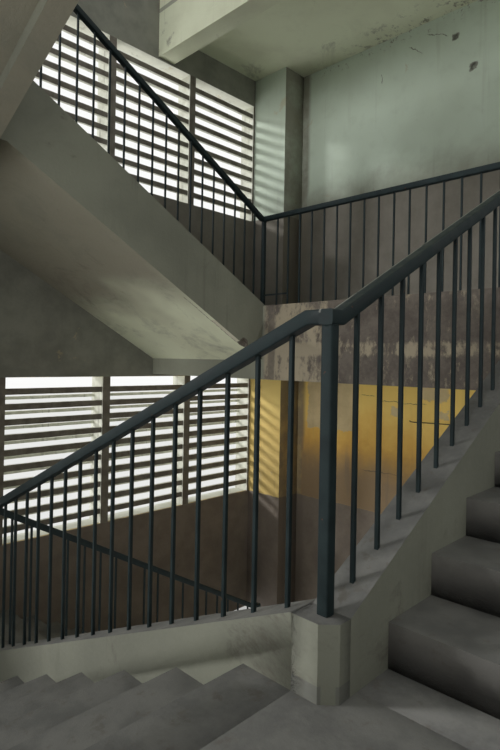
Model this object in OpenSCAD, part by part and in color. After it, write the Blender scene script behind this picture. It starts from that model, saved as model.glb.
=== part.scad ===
// Open well stair of a concrete building: three flights and a gallery to each storey,
// steel railings round the well, a louvred wall on one side and a plain wall along the gallery.
// Millimetres, +Z up, origin on the ground under the middle of the well.

/* [Steps] */
// Height of one riser
riser = 150; // [140:2:165]
// Risers of the flight along the louvred wall
risers_louvre = 10; // [9:1:11]
// Risers of the flight on the open left side
risers_left = 8; // [7:1:9]
// Risers of the flight on the open near side
risers_near = 9; // [8:1:10]
// Open joint between neighbouring steps
step_joint = 1; // [1:1:3]

/* [Plan] */
// Distance between the railing axes on opposite sides of the well
well = 2900; // [2600:20:3200]
// Width of the louvre and near flights, railing axis to wall face
flight_w = 1800; // [1500:20:2100]
// Width of the gallery and the left flight, railing axis to wall face
gallery_w = 2150; // [1900:25:2500]

/* [Concrete] */
// Width of the upstand that carries a railing
curb_w = 140; // [120:5:160]
// Height of the upstand along the gallery and the louvre flights
curb_h = 200; // [150:10:250]
// Height of the upstand along the left and near flights
side_curb_h = 230; // [200:10:260]
// Chamfer of an upstand's outer corner
corner_cut = 45; // [20:5:60]
// Depth of a flight below the line of its slope, measured plumb
stringer_h = 385; // [340:5:440]
// Depth of the left flight's stringer below the line of its slope, measured plumb
left_stringer_h = 470; // [450:5:520]
// Thickness of landing and gallery slabs
slab_t = 200; // [150:10:240]
// Width of the beams round the well
beam_w = 250; // [200:10:300]
// Depth of the beams below the floor they carry
beam_h = 560; // [540:10:650]
// Length of a flight's upstand that is level, at its foot and head together
level_run = 200; // [180:5:240]
// Level length at the foot of the louvre and near flights
foot_level = 30; // [30:1:40]
// Level length at the foot of the left flight
left_foot_level = 120; // [100:5:140]

/* [Columns and walls] */
// Column size across the gallery
column_x = 410; // [300:10:500]
// Column size along the gallery
column_y = 600; // [400:20:800]
// Thickness of the louvred wall and the near side bands
louvre_wall_t = 250; // [200:10:300]
// Thickness of the gallery wall and the left side bands
gallery_wall_t = 150; // [120:10:200]
// Height of the walls above the top gallery floor
parapet_h = 1000; // [900:50:1200]

/* [Louvres] */
// Height of the window sill above the floor of its storey
sill_h = 1730; // [1600:10:1800]
// Height of a louvred window
window_h = 1730; // [1600:10:1760]
// Clear width of one window bay
bay_w = 1150; // [1000:10:1180]
// Width of the mullions between bays
mullion_w = 100; // [80:5:120]
// Number of bays
bays = 5; // [3:1:5]
// Strip of wall between the last bay and the corner column
jamb_w = 30; // [20:5:60]
// Number of blades in one bay
blades = 10; // [8:1:10]
// Distance between blades
blade_pitch = 160; // [140:2:170]
// Middle of the highest blade below the window head
blade_drop = 150; // [120:5:160]
// Height of an inner blade
blade_h = 65; // [50:5:80]
// Depth of an inner blade
blade_d = 45; // [35:5:60]
// Height of an outer blade, half a pitch lower
outer_blade_h = 35; // [25:5:45]
// Depth of an outer blade
outer_blade_d = 40; // [30:5:50]
// Setback of the blades from the wall faces
blade_setback = 15; // [10:5:30]

/* [Railings] */
// Height of the handrail's top above a floor or a flight's slope
rail_h = 1140; // [1000:5:1250]
// Height of the handrail section, square to its run
handrail_h = 47; // [40:1:60]
// Width of the handrail section
handrail_w = 50; // [40:1:60]
// Size of the square newel posts
post = 40; // [34:1:60]
// Size of the square balusters
baluster = 13; // [10:1:20]
// Distance between balusters
baluster_pitch = 145; // [120:5:160]
// Distance of the gallery's first baluster from its far post
gallery_first = 190; // [100:1:250]
// Height above its upstand of the short bar beside the gallery's far post
short_bar_h = 110; // [80:5:150]
// Depth to which a baluster enters the handrail
weld = 10; // [5:1:20]

/* [Hidden] */
storey = riser * (risers_louvre + risers_left + risers_near);
half = well / 2;
slope_run = well - level_run;
inner_y = half + flight_w;
inner_x = half + gallery_w;
outer_y = inner_y + louvre_wall_t;
outer_x = inner_x + gallery_wall_t;
well_face = half - curb_w / 2;
curb_back = half + curb_w / 2;
beam_back = well_face + beam_w;
landing_edge = curb_w / 2;
wall_top = 2 * storey + parapet_h;
head_z = sill_h + window_h;
bay_pitch = bay_w + mullion_w;
first_bay_x = inner_x - column_x - jamb_w - bays * bay_pitch + mullion_w;
handrail_under = rail_h - handrail_h;
// Floors above the ground, in walking order
landing_1_z = riser * risers_louvre;
landing_2_z = landing_1_z + riser * risers_left;
gallery_1_z = storey;
// Turn of each side about the well, with its flight rising along +X before the turn
NEAR = 0;
GALLERY = 90;
LOUVRE = 180;
LEFT = 270;
// Flights and level edges as [turn, risers, level length at the foot, stringer depth, upstand height]
LOUVRE_FLIGHT = [LOUVRE, risers_louvre, foot_level, stringer_h, curb_h];
LEFT_FLIGHT = [LEFT, risers_left, left_foot_level, left_stringer_h, side_curb_h];
NEAR_FLIGHT = [NEAR, risers_near, foot_level, stringer_h, side_curb_h];
GALLERY_EDGE = [GALLERY, 0, 0, 0, curb_h];
CONCRETE = [0.62, 0.60, 0.52];
PLASTER = [0.74, 0.74, 0.66];
CEMENT = [0.42, 0.38, 0.33];
PAINT = [0.07, 0.12, 0.12];

function turn(kind) = kind[0];
function risers(kind) = kind[1];
function foot(kind) = kind[2];
function depth(kind) = kind[3];
function upstand(kind) = kind[4];
function knee(kind) = foot(kind) + slope_run;
function height(kind) = risers(kind) * riser;
function going(kind) = slope_run / risers(kind);
function slope(kind) = height(kind) / slope_run;
// First riser of a flight, measured from its lower post, with the steps centred between the posts
function first_riser(kind) = (well - (risers(kind) - 1) * going(kind)) / 2;
// Height of a flight's slope above its lower floor at a distance from its lower post
function climb(kind, s) = slope(kind) * min(max(s - foot(kind), 0), slope_run);
function rise(kind, s) = upstand(kind) + climb(kind, s);
// Shift of a knee's corner along the run for each unit of depth below the line
function mitre(kind, s) =
    slope(kind) > 0 && (s == foot(kind) || s == knee(kind))
        ? (sqrt(1 + pow(slope(kind), 2)) - 1) / slope(kind)
        : 0;

// Extrudes a side view (distance along the side, height) from a distance off the well's middle outwards
module side_slab(turn, from, width, points)
    rotate([0, 0, turn])
        translate([-half, -from, 0])
            rotate([90, 0, 0])
                linear_extrude(width)
                    polygon(points);

module box(low, high)
    translate(low)
        cube(high - low);

// Columns and walls

module column(side_x, side_y)
    color(PLASTER)
        translate([side_x * (inner_x - column_x / 2), side_y * (inner_y - column_y / 2), wall_top / 2])
            cube([column_x, column_y, wall_top], center = true);

module louvre_band(low, high)
    color(PLASTER)
        box([-outer_x, inner_y, low], [outer_x, outer_y, high]);

module louvre_mullions(floor_z)
    color(CONCRETE) {
        box([-outer_x, inner_y, floor_z + sill_h], [first_bay_x, outer_y, floor_z + head_z]);
        for (i = [1 : bays - 1])
            box([first_bay_x + i * bay_pitch - mullion_w, inner_y, floor_z + sill_h],
                [first_bay_x + i * bay_pitch, outer_y, floor_z + head_z]);
        box([first_bay_x + bays * bay_pitch - mullion_w, inner_y, floor_z + sill_h],
            [outer_x, outer_y, floor_z + head_z]);
    }

module louvre_blades(floor_z)
    color(CONCRETE)
        for (bay = [0 : bays - 1], i = [0 : blades - 1]) {
            x = first_bay_x + bay * bay_pitch;
            z = floor_z + head_z - blade_drop - i * blade_pitch;
            box([x, inner_y + blade_setback, z - blade_h / 2],
                [x + bay_w, inner_y + blade_setback + blade_d, z + blade_h / 2]);
            if (i < blades - 1)
                box([x, outer_y - blade_setback - outer_blade_d, z - blade_pitch / 2 - outer_blade_h / 2],
                    [x + bay_w, outer_y - blade_setback, z - blade_pitch / 2 + outer_blade_h / 2]);
        }

module gallery_wall()
    color(PLASTER)
        box([inner_x, -inner_y, 0], [outer_x, inner_y, wall_top]);

// A band follows the flight behind it: level, sloping, level
function band_profile(kind, z, before, after) = [
    [-before, z + upstand(kind)], [foot(kind), z + upstand(kind)],
    [knee(kind), z + upstand(kind) + height(kind)], [well + after, z + upstand(kind) + height(kind)],
    [well + after, z - beam_h + height(kind)], [knee(kind), z - beam_h + height(kind)],
    [foot(kind), z - beam_h], [-before, z - beam_h]
];

module near_band(z)
    color(PLASTER)
        side_slab(NEAR, inner_y, louvre_wall_t, band_profile(NEAR_FLIGHT, z, outer_x - half, outer_x - half));

module left_band(z)
    color(PLASTER)
        side_slab(LEFT, inner_x, gallery_wall_t, band_profile(LEFT_FLIGHT, z, flight_w, flight_w));

// Landings and galleries

// The upstand under a corner post, up to the foot of the flight that leaves it
module corner_curb(kind, z)
    rotate([0, 0, turn(kind)])
        translate([0, 0, z])
            linear_extrude(upstand(kind))
                polygon([
                    [-curb_back + corner_cut, -curb_back], [-half + foot(kind), -curb_back],
                    [-half + foot(kind), -well_face],
                    [-curb_back, -well_face], [-curb_back, -curb_back + corner_cut]]);

// A corner landing: slab, two beams that meet at the well, and the upstand block under the post
module landing(mirror_y, kind, z)
    color(CONCRETE) {
        difference() {
            mirror([0, mirror_y, 0])
                union() {
                    box([-inner_x, -inner_y, z - slab_t], [-well_face, -well_face, z]);
                    box([-beam_back, -inner_y, z - beam_h], [-well_face, -well_face, z]);
                    box([-inner_x, -beam_back, z - beam_h], [-well_face, -well_face, z]);
                }
            column_hole();
        }
        corner_curb(kind, z);
    }

module column_hole()
    for (side_x = [-1, 1], side_y = [-1, 1])
        translate([side_x * (inner_x - column_x / 2), side_y * (inner_y - column_y / 2), wall_top / 2])
            cube([column_x, column_y, 2 * wall_top], center = true);

module gallery(z, end_curb)
    color(CONCRETE) {
        difference() {
            union() {
                box([well_face, -inner_y, z - slab_t], [inner_x, inner_y, z]);
                box([well_face, -inner_y, z - beam_h], [beam_back, inner_y, z]);
            }
            column_hole();
        }
        box([well_face, -curb_back, z], [curb_back, end_curb ? inner_y : well_face, z + curb_h]);
        if (!end_curb)
            corner_curb(LOUVRE_FLIGHT, z);
    }

// Flights

// The end of a flight's soffit, which runs level under a level foot
function soffit_foot(kind, z, below) = concat(
    foot(kind) > landing_edge ? [[foot(kind), z - below]] : [],
    [[landing_edge, z - below + climb(kind, landing_edge)], [landing_edge, z]]);

// Waist slab under the steps, with the stringer and its upstand on the well side
module flight(kind, z, outer) {
    top = z + height(kind);
    first = first_riser(kind);
    last = well - first;
    end = well - landing_edge;
    // A flight that starts on the ground is cut level with it
    grounded = z == 0;
    touch = foot(kind) + stringer_h / slope(kind);
    slab_foot = grounded ? [[touch, 0], [first, 0]] : concat(soffit_foot(kind, z, stringer_h), [[first, z]]);
    stringer_foot = grounded
        ? [[touch, 0], [-landing_edge, 0], [-landing_edge, upstand(kind)]]
        : concat(soffit_foot(kind, z, depth(kind)), [[foot(kind), z]]);
    color(CONCRETE)
        union() {
            side_slab(turn(kind), well_face, outer - well_face, concat(
                [[last, top - riser], [last, top], [end, top], [end, top - stringer_h],
                    [knee(kind), top - stringer_h]],
                slab_foot));
            side_slab(turn(kind), well_face, curb_w, concat(
                [[foot(kind), z + upstand(kind)], [knee(kind), top + upstand(kind)],
                    [end, top + upstand(kind)],
                    [end, top - depth(kind)], [knee(kind), top - depth(kind)]],
                stringer_foot));
        }
}

module steps(kind, z, outer)
    color(CEMENT)
        for (i = [0 : risers(kind) - 2]) {
            s = first_riser(kind) + i * going(kind);
            side_slab(turn(kind), curb_back, outer - curb_back, [
                [s, z + i * riser], [s, z + (i + 1) * riser],
                [s + going(kind) - step_joint, z + (i + 1) * riser],
                [s + going(kind) - step_joint, z + (i + 1) * riser - step_joint * slope(kind)]]);
        }

// Railings

// A panel over any run: a handrail of even section with mitred knees, and balusters from the upstand into it
module panel(kind, axis, z, from, to, feet)
    color(PAINT)
        union() {
            knees = [for (s = [foot(kind), knee(kind)]) if (risers(kind) > 0 && s > from && s < to) s];
            line = concat([from], knees, [to]);
            side_slab(turn(kind), axis - handrail_w / 2, handrail_w, concat(
                [for (s = line) [s, z + climb(kind, s) + rail_h]],
                [for (i = [len(line) - 1 : -1 : 0])
                    [line[i] + handrail_h * mitre(kind, line[i]),
                        z + climb(kind, line[i]) + handrail_under]]));
            for (s = feet)
                side_slab(turn(kind), axis - baluster / 2, baluster, [
                    [s - baluster / 2, z + rise(kind, s - baluster / 2)],
                    [s + baluster / 2, z + rise(kind, s + baluster / 2)],
                    [s + baluster / 2, z + climb(kind, s) + handrail_under + weld],
                    [s - baluster / 2, z + climb(kind, s) + handrail_under + weld]]);
        }

function feet_between(from, to) =
    let (n = round((to - from) / baluster_pitch))
    [for (i = [1 : n - 1]) from + i * (to - from) / n];

module flight_railing(kind, z)
    panel(kind, half, z, -handrail_w / 2, well - handrail_w / 2, feet_between(0, well));

module gallery_railing(z) {
    panel(GALLERY_EDGE, half, z, -handrail_w / 2, well - handrail_w / 2,
        [for (s = [well - gallery_first : -baluster_pitch : post]) s]);
    // Short bar from the far post through the first baluster to the second
    color(PAINT)
        rotate([0, 0, GALLERY])
            translate([half - gallery_first - baluster_pitch, -half - baluster / 2, z + curb_h + short_bar_h])
                cube([gallery_first + baluster_pitch - post / 2, baluster, baluster]);
}

// Closes the edge where the next flight would leave the top gallery
module gallery_end_railing(z)
    panel(GALLERY_EDGE, half, z, well - handrail_w / 2, well + flight_w, feet_between(well, well + flight_w));

module top_gallery_railing() {
    gallery_railing(storey + gallery_1_z);
    gallery_end_railing(storey + gallery_1_z);
}

// A post under a handrail, cut to the upstand's line where it stands over a knee
module newel(kind, axis, s, z) {
    reach = mitre(kind, s) > 0 ? [-post / 2, 0, post / 2] : [-post / 2, post / 2];
    side_slab(turn(kind), axis - post / 2, post, concat(
        [for (e = reach) [s + e, z + rise(kind, s + e)]],
        [for (e = [post / 2, -post / 2]) [s + e, z + climb(kind, s) + handrail_under]]));
}

module newel_posts()
    color(PAINT) {
        newel(LOUVRE_FLIGHT, half, 0, 0);
        for (base = [0, storey]) {
            newel(LEFT_FLIGHT, half, 0, base + landing_1_z);
            newel(NEAR_FLIGHT, half, 0, base + landing_2_z);
            newel(GALLERY_EDGE, half, 0, base + gallery_1_z);
            newel(LOUVRE_FLIGHT, half, 0, base + gallery_1_z);
        }
    }

// Outer railing of an open side: level, sloping and level panels that meet over two posts
module side_railings(kind, axis, z, before, after) {
    ends = [-before, foot(kind), knee(kind), well + after];
    for (i = [0 : 2])
        panel(kind, axis, z, ends[i], ends[i + 1], feet_between(ends[i], ends[i + 1]));
    color(PAINT)
        for (s = [ends[1], ends[2]])
            newel(kind, axis, s, z);
}

module near_railings()
    for (base = [0, storey])
        side_railings(NEAR_FLIGHT, inner_y + louvre_wall_t / 2, base + landing_2_z,
            outer_x - half - gallery_wall_t - handrail_w, outer_x - half - gallery_wall_t);

module left_railings()
    for (base = [0, storey])
        side_railings(LEFT_FLIGHT, inner_x + gallery_wall_t / 2, base + landing_1_z, flight_w, flight_w);

column(-1, -1);  // column_near_left
column(1, -1);  // column_near_right
column(-1, 1);  // column_far_left
column(1, 1);  // column_far_right
louvre_band(0, sill_h);  // louvre_wall_lower_band
louvre_band(head_z, storey + sill_h);  // louvre_wall_middle_band
louvre_band(storey + head_z, wall_top);  // louvre_wall_top_band
louvre_mullions(0);  // louvre_mullions_lower
louvre_mullions(storey);  // louvre_mullions_upper
louvre_blades(0);  // louvre_blades_lower
louvre_blades(storey);  // louvre_blades_upper
gallery_wall();
near_band(landing_2_z);  // near_band_1
near_band(storey + landing_2_z);  // near_band_2
left_band(landing_1_z);  // left_band_1
left_band(storey + landing_1_z);  // left_band_2
landing(1, LEFT_FLIGHT, landing_1_z);  // landing_1
landing(0, NEAR_FLIGHT, landing_2_z);  // landing_2
gallery(gallery_1_z, false);  // gallery_1
landing(1, LEFT_FLIGHT, storey + landing_1_z);  // landing_3
landing(0, NEAR_FLIGHT, storey + landing_2_z);  // landing_4
gallery(storey + gallery_1_z, true);  // gallery_2
flight(LOUVRE_FLIGHT, 0, inner_y);  // flight_1
flight(LEFT_FLIGHT, landing_1_z, inner_x);  // flight_2
flight(NEAR_FLIGHT, landing_2_z, inner_y);  // flight_3
flight(LOUVRE_FLIGHT, storey, inner_y);  // flight_4
flight(LEFT_FLIGHT, storey + landing_1_z, inner_x);  // flight_5
flight(NEAR_FLIGHT, storey + landing_2_z, inner_y);  // flight_6
steps(LOUVRE_FLIGHT, 0, inner_y);  // steps_1
steps(LEFT_FLIGHT, landing_1_z, inner_x);  // steps_2
steps(NEAR_FLIGHT, landing_2_z, inner_y);  // steps_3
steps(LOUVRE_FLIGHT, storey, inner_y);  // steps_4
steps(LEFT_FLIGHT, storey + landing_1_z, inner_x);  // steps_5
steps(NEAR_FLIGHT, storey + landing_2_z, inner_y);  // steps_6
newel_posts();
flight_railing(LOUVRE_FLIGHT, 0);  // railing_1
flight_railing(LEFT_FLIGHT, landing_1_z);  // railing_2
flight_railing(NEAR_FLIGHT, landing_2_z);  // railing_3
flight_railing(LOUVRE_FLIGHT, storey);  // railing_4
flight_railing(LEFT_FLIGHT, storey + landing_1_z);  // railing_5
flight_railing(NEAR_FLIGHT, storey + landing_2_z);  // railing_6
gallery_railing(gallery_1_z);  // gallery_railing_1
top_gallery_railing();  // gallery_railing_2
near_railings();
left_railings();
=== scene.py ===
"""Open well concrete stair: painted steel railings, precast louvres, worn plaster and cement."""
import math
import random
from typing import NamedTuple

import bmesh
import bpy
from mathutils import Matrix, Vector
from mathutils.bvhtree import BVHTree


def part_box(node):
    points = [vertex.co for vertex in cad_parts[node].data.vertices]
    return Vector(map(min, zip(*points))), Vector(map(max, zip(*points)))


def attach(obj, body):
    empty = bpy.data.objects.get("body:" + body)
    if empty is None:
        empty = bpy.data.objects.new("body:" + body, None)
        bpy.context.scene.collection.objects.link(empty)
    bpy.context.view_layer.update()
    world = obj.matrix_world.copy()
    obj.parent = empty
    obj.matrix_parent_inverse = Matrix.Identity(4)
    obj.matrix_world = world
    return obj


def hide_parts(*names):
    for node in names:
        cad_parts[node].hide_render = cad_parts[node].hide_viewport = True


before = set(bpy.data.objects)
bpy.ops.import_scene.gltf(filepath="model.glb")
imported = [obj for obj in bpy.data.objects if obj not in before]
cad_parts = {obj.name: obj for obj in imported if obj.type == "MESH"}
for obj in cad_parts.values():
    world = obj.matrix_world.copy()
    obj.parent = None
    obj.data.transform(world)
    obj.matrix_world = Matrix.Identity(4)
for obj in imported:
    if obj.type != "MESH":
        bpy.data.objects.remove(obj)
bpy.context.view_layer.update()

# Photograph and camera
PHOTO_W, PHOTO_H = 500, 750
FOCAL_PX = 546.8
CENTRE_PX = (232.0, 357.6)
EYE = Vector((-2.809, -2.406, 3.682))
YAW, PITCH, ROLL = math.radians(45.26), math.radians(0.273), math.radians(1.047)
SENSOR = 36.0

# Studio: the way each lamp shines, how soft it is in degrees, and the share of full light that it gives
WORLD_LIGHT, WORLD_TINT = 0.36, (0.97, 1.0, 0.98, 1)
WORLD_SEEN = (0.98, 0.985, 0.97, 1)
LAMPS = {
    "louvre_side": ((0.64, -0.68, -0.34), 7, 0.50),
    "louvre_low": ((0.25, -0.80, 0.55), 40, 0.48),
    "left_side": ((0.96, 0.18, -0.05), 20, 0.26),
    "left_top": ((0.62, -0.05, -0.78), 25, 0.10),
    "near_top": ((-0.05, 0.60, -0.80), 25, 0.10),
    "wall_side": ((-0.88, -0.15, -0.42), 20, 0.45),
    "from_floor": ((0.70, -0.35, 0.62), 60, 0.50),
}
FLOOR_REACH = 60.0
FLOOR_ALBEDO = (0.78, 0.78, 0.76, 1)
FLOOR_SEEN = (0.90, 0.90, 0.885, 1)
FLOOR_SEEN_SHARE = 0.5

# Stair sizes, as the construction has them
RISER = 0.150
WELL = 2.900
HALF = WELL / 2
SLOPE_RUN = 2.700
STOREY = 27 * RISER
LANDING_1, LANDING_2 = 10 * RISER, 18 * RISER
SLAB = 0.200
INNER_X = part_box("gallery_wall")[0].x
INNER_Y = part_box("louvre_wall_lower_band")[0].y
OUTER_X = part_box("gallery_wall")[1].x
OUTER_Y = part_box("louvre_wall_lower_band")[1].y
FAR_COLUMN_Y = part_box("column_far_right")[0].y
SILL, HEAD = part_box("louvre_mullions_lower")[0].z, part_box("louvre_mullions_lower")[1].z
RAIL_H = 1.140
HANDRAIL_W, HANDRAIL_H = 0.050, 0.047
PAINT_COAT = 0.001
POST, BALUSTER = 0.040, 0.013 + 2 * PAINT_COAT
BALUSTER_PITCH = 0.145
GALLERY_FIRST = 0.190
SHORT_BAR_H = 0.110
BAYS, BAY_PITCH, BAY_W = 5, 1.250, 1.150
BLADES, BLADE_PITCH, BLADE_DROP = 10, 0.160, 0.150
BLADE_SETBACK = 0.015
INNER_BLADE, OUTER_BLADE = (0.065, 0.045), (0.035, 0.040)
BLADE_ROLL = (0.05, 0.002, 0.003)


class Side(NamedTuple):
    """One side of the well: its flight rises along +X before the turn."""
    turn: float
    risers: int
    foot: float
    upstand: float

    def slope(self):
        return self.risers * RISER / SLOPE_RUN

    def climb(self, s):
        return self.slope() * min(max(s - self.foot, 0), SLOPE_RUN)

    def knees(self):
        return (self.foot, self.foot + SLOPE_RUN) if self.risers else ()

    def place(self, axis, s, z):
        """A point s along the side from its lower post, axis away from the middle of the well."""
        return Matrix.Rotation(math.radians(self.turn), 3, "Z") @ Vector((s - HALF, -axis, z))


NEAR = Side(0, 9, 0.030, 0.230)
GALLERY = Side(90, 0, 0.0, 0.200)
LOUVRE = Side(180, 10, 0.030, 0.200)
LEFT = Side(270, 8, 0.120, 0.230)


# Camera, stage and lights

def linked(name, data):
    """A new object in the scene."""
    obj = bpy.data.objects.new(name, data)
    bpy.context.scene.collection.objects.link(obj)
    return obj


def make_camera():
    forward = Vector((math.cos(YAW) * math.cos(PITCH), math.sin(YAW) * math.cos(PITCH), math.sin(PITCH)))
    level = Vector((math.sin(YAW), -math.cos(YAW), 0))
    upright = level.cross(forward)
    right = math.cos(ROLL) * level + math.sin(ROLL) * upright
    up = -math.sin(ROLL) * level + math.cos(ROLL) * upright
    data = bpy.data.cameras.new("camera")
    data.sensor_width = SENSOR
    data.lens = FOCAL_PX / PHOTO_H * SENSOR
    data.shift_x = (PHOTO_W / 2 - CENTRE_PX[0]) / PHOTO_H
    data.shift_y = (CENTRE_PX[1] - PHOTO_H / 2) / PHOTO_H
    data.clip_start = 0.02
    data.clip_end = 300
    camera = linked("camera", data)
    camera.matrix_world = Matrix.Translation(EYE) @ Matrix((right, up, -forward)).transposed().to_4x4()
    bpy.context.scene.camera = camera


def add(tree, kind, inputs=None, **settings):
    """Adds a node, sets its options, and links or sets its inputs."""
    node = tree.nodes.new(kind)
    for name, value in settings.items():
        setattr(node, name, value)
    for key, value in (inputs or {}).items():
        if isinstance(value, bpy.types.NodeSocket):
            tree.links.new(value, node.inputs[key])
        else:
            node.inputs[key].default_value = value
    return node


def seen_directly(tree):
    """1 where the camera sees a surface itself, or in glass or a gloss, and 0 where it only gives light."""
    path = add(tree, "ShaderNodeLightPath").outputs
    seen = path["Is Camera Ray"]
    for ray in ("Is Glossy Ray", "Is Transmission Ray"):
        seen = add(tree, "ShaderNodeMath", {0: seen, 1: path[ray]}, operation="MAXIMUM").outputs[0]
    return seen


def make_world():
    world = bpy.data.worlds.new("studio")
    bpy.context.scene.world = world
    world.use_nodes = True
    tree = world.node_tree
    tree.nodes.clear()
    light = add(tree, "ShaderNodeBackground", {"Color": WORLD_TINT, "Strength": WORLD_LIGHT})
    white = add(tree, "ShaderNodeBackground", {"Color": WORLD_SEEN, "Strength": 1.0})
    mix = add(tree, "ShaderNodeMixShader", {
        0: seen_directly(tree), 1: light.outputs[0], 2: white.outputs[0]})
    add(tree, "ShaderNodeOutputWorld", {"Surface": mix.outputs[0]})


def make_lights():
    for name, (way, softness, share) in LAMPS.items():
        data = bpy.data.lights.new(name, "SUN")
        data.angle = math.radians(softness)
        data.energy = share * math.pi
        lamp = linked(name, data)
        lamp.rotation_euler = Vector(way).to_track_quat("-Z", "Y").to_euler()


def make_stage():
    """A pale floor that keeps the stair's shadow."""
    r = FLOOR_REACH
    mesh = bpy.data.meshes.new("floor")
    mesh.from_pydata([(-r, -r, 0), (r, -r, 0), (r, r, 0), (-r, r, 0)], [], [(0, 1, 2, 3)])
    floor = linked("floor", mesh)
    material = bpy.data.materials.new("pale_floor")
    material.use_nodes = True
    tree = material.node_tree
    matt = tree.nodes["Principled BSDF"]
    matt.inputs["Base Color"].default_value = FLOOR_ALBEDO
    matt.inputs["Roughness"].default_value = 0.9
    pale = add(tree, "ShaderNodeEmission", {"Color": FLOOR_SEEN, "Strength": 1.0})
    share = add(tree, "ShaderNodeMath", {0: seen_directly(tree), 1: FLOOR_SEEN_SHARE}, operation="MULTIPLY")
    mix = add(tree, "ShaderNodeMixShader", {0: share.outputs[0], 1: matt.outputs[0], 2: pale.outputs[0]})
    tree.links.new(mix.outputs[0], tree.nodes["Material Output"].inputs["Surface"])
    mesh.materials.append(material)
    floor.visible_shadow = False


# Material parts

class Surface:
    """A material under construction: object coordinates in, one Principled shader out."""

    def __init__(self, name):
        self.material = bpy.data.materials.new(name)
        self.material.use_nodes = True
        self.tree = self.material.node_tree
        self.shader = self.tree.nodes["Principled BSDF"]
        self.place = add(self.tree, "ShaderNodeTexCoord").outputs["Object"]
        self.x, self.y, self.z = add(self.tree, "ShaderNodeSeparateXYZ", {0: self.place}).outputs
        normal = add(self.tree, "ShaderNodeNewGeometry").outputs["True Normal"]
        self.facing = add(self.tree, "ShaderNodeSeparateXYZ", {0: normal}).outputs

    def stretched(self, scale):
        return add(self.tree, "ShaderNodeMapping", {"Vector": self.place, "Scale": scale}).outputs[0]

    def noise(self, scale, detail=4.0, rough=0.55, at=None, warp=0.0):
        return add(self.tree, "ShaderNodeTexNoise", {
            "Vector": at or self.place, "Scale": scale, "Detail": detail, "Roughness": rough,
            "Distortion": warp}).outputs["Fac"]

    def ramp(self, value, low, high, to_low=0.0, to_high=1.0):
        return add(self.tree, "ShaderNodeMapRange", {
            0: value, 1: low, 2: high, 3: to_low, 4: to_high}, interpolation_type="SMOOTHSTEP").outputs[0]

    def maths(self, operation, a, b=0.0, c=0.0):
        return add(self.tree, "ShaderNodeMath", {0: a, 1: b, 2: c}, operation=operation).outputs[0]

    def sum(self, *terms):
        total = terms[0]
        for term in terms[1:]:
            total = self.maths("ADD", total, term)
        return total

    def times(self, *factors):
        product = factors[0]
        for factor in factors[1:]:
            product = self.maths("MULTIPLY", product, factor)
        return product

    def most(self, *values):
        highest = values[0]
        for value in values[1:]:
            highest = self.maths("MAXIMUM", highest, value)
        return highest

    def away(self, value, centre, reach):
        """Distance of a value outside a stretch around a centre, negative within it."""
        return self.less(self.maths("ABSOLUTE", self.less(value, centre)), reach)

    def within(self, value, centre, reach, soft):
        """1 in a stretch around a centre, and 0 beyond a soft edge."""
        return self.ramp(self.away(value, centre, reach), 0.0, soft, 1.0, 0.0)

    def turned(self, axis, sign):
        """1 on faces turned along an axis of the frame, else 0."""
        return self.ramp(self.times(self.facing[axis], sign), 0.5, 0.7)

    def less(self, value, taken):
        return self.maths("SUBTRACT", value, taken)

    def rest(self, share):
        return self.less(1.0, share)

    def swing(self, noise, reach):
        """A noise made to waver to both sides of 0."""
        return self.times(self.less(noise, 0.5), reach)

    def mix(self, factor, a, b, blend="MIX"):
        node = add(self.tree, "ShaderNodeMix", data_type="RGBA", blend_type=blend)
        for key, value in (("Factor_Float", factor), ("A_Color", a), ("B_Color", b)):
            socket = next(s for s in node.inputs if s.identifier == key)
            if isinstance(value, bpy.types.NodeSocket):
                self.tree.links.new(value, socket)
            else:
                socket.default_value = (*value, 1) if isinstance(value, tuple) else value
        return next(s for s in node.outputs if s.identifier == "Result_Color")

    def finish(self, colour, roughness, height, depth, strength=1.0):
        self.tree.links.new(colour, self.shader.inputs["Base Color"])
        self.tree.links.new(roughness, self.shader.inputs["Roughness"])
        bump = add(self.tree, "ShaderNodeBump", {"Height": height, "Distance": depth, "Strength": strength})
        self.tree.links.new(bump.outputs[0], self.shader.inputs["Normal"])
        return self.material


# Finishes

WHITEWASH, WHITEWASH_DULL = (0.68, 0.78, 0.66), (0.56, 0.64, 0.53)
OUTER_WASH, OUTER_DULL = (0.52, 0.55, 0.48), (0.42, 0.445, 0.385)
# A dark copy of the whitewash: painted shade
SHADED_WASH, SHADED_DULL = (0.245, 0.247, 0.205), (0.170, 0.170, 0.142)
# The last is a paler ochre for the far right column: painted light
OCHRE, OCHRE_LOW, LIT_OCHRE = (0.76, 0.535, 0.150), (0.62, 0.355, 0.075), (0.72, 0.550, 0.195)
OLD_COAT, OLD_COAT_PALE = (0.46, 0.360, 0.200), (0.58, 0.460, 0.260)
# Dark dado colours, partly painted shade below the sills
DADO_AND_SHADE, DADO_AND_SHADE_PALE = (0.145, 0.118, 0.094), (0.200, 0.165, 0.132)
UPPER_DADO_AND_SHADE, UPPER_DADO_AND_SHADE_PALE = (0.165, 0.150, 0.122), (0.215, 0.197, 0.165)
# Soot and painted shade above the dado
SOOT_AND_SHADE = (0.20, 0.18, 0.14)
GRIME = (0.095, 0.080, 0.062)
MORTAR = (0.62, 0.59, 0.46)
WASH, WASH_DULL = (0.270, 0.275, 0.215), (0.190, 0.193, 0.152)
# A far paler wash for soffits and the second gallery: painted light
LIT_CEILING_WASH, LIT_CEILING_DULL = (0.77, 0.80, 0.60), (0.62, 0.63, 0.46)
# A dark copy for the soffits: painted shade
SHADED_SOFFIT = (0.200, 0.175, 0.135)
STAINED_WASH = (0.34, 0.290, 0.205)
DAMP, DAMP_LIGHT = (0.085, 0.070, 0.058), (0.140, 0.118, 0.096)
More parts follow.
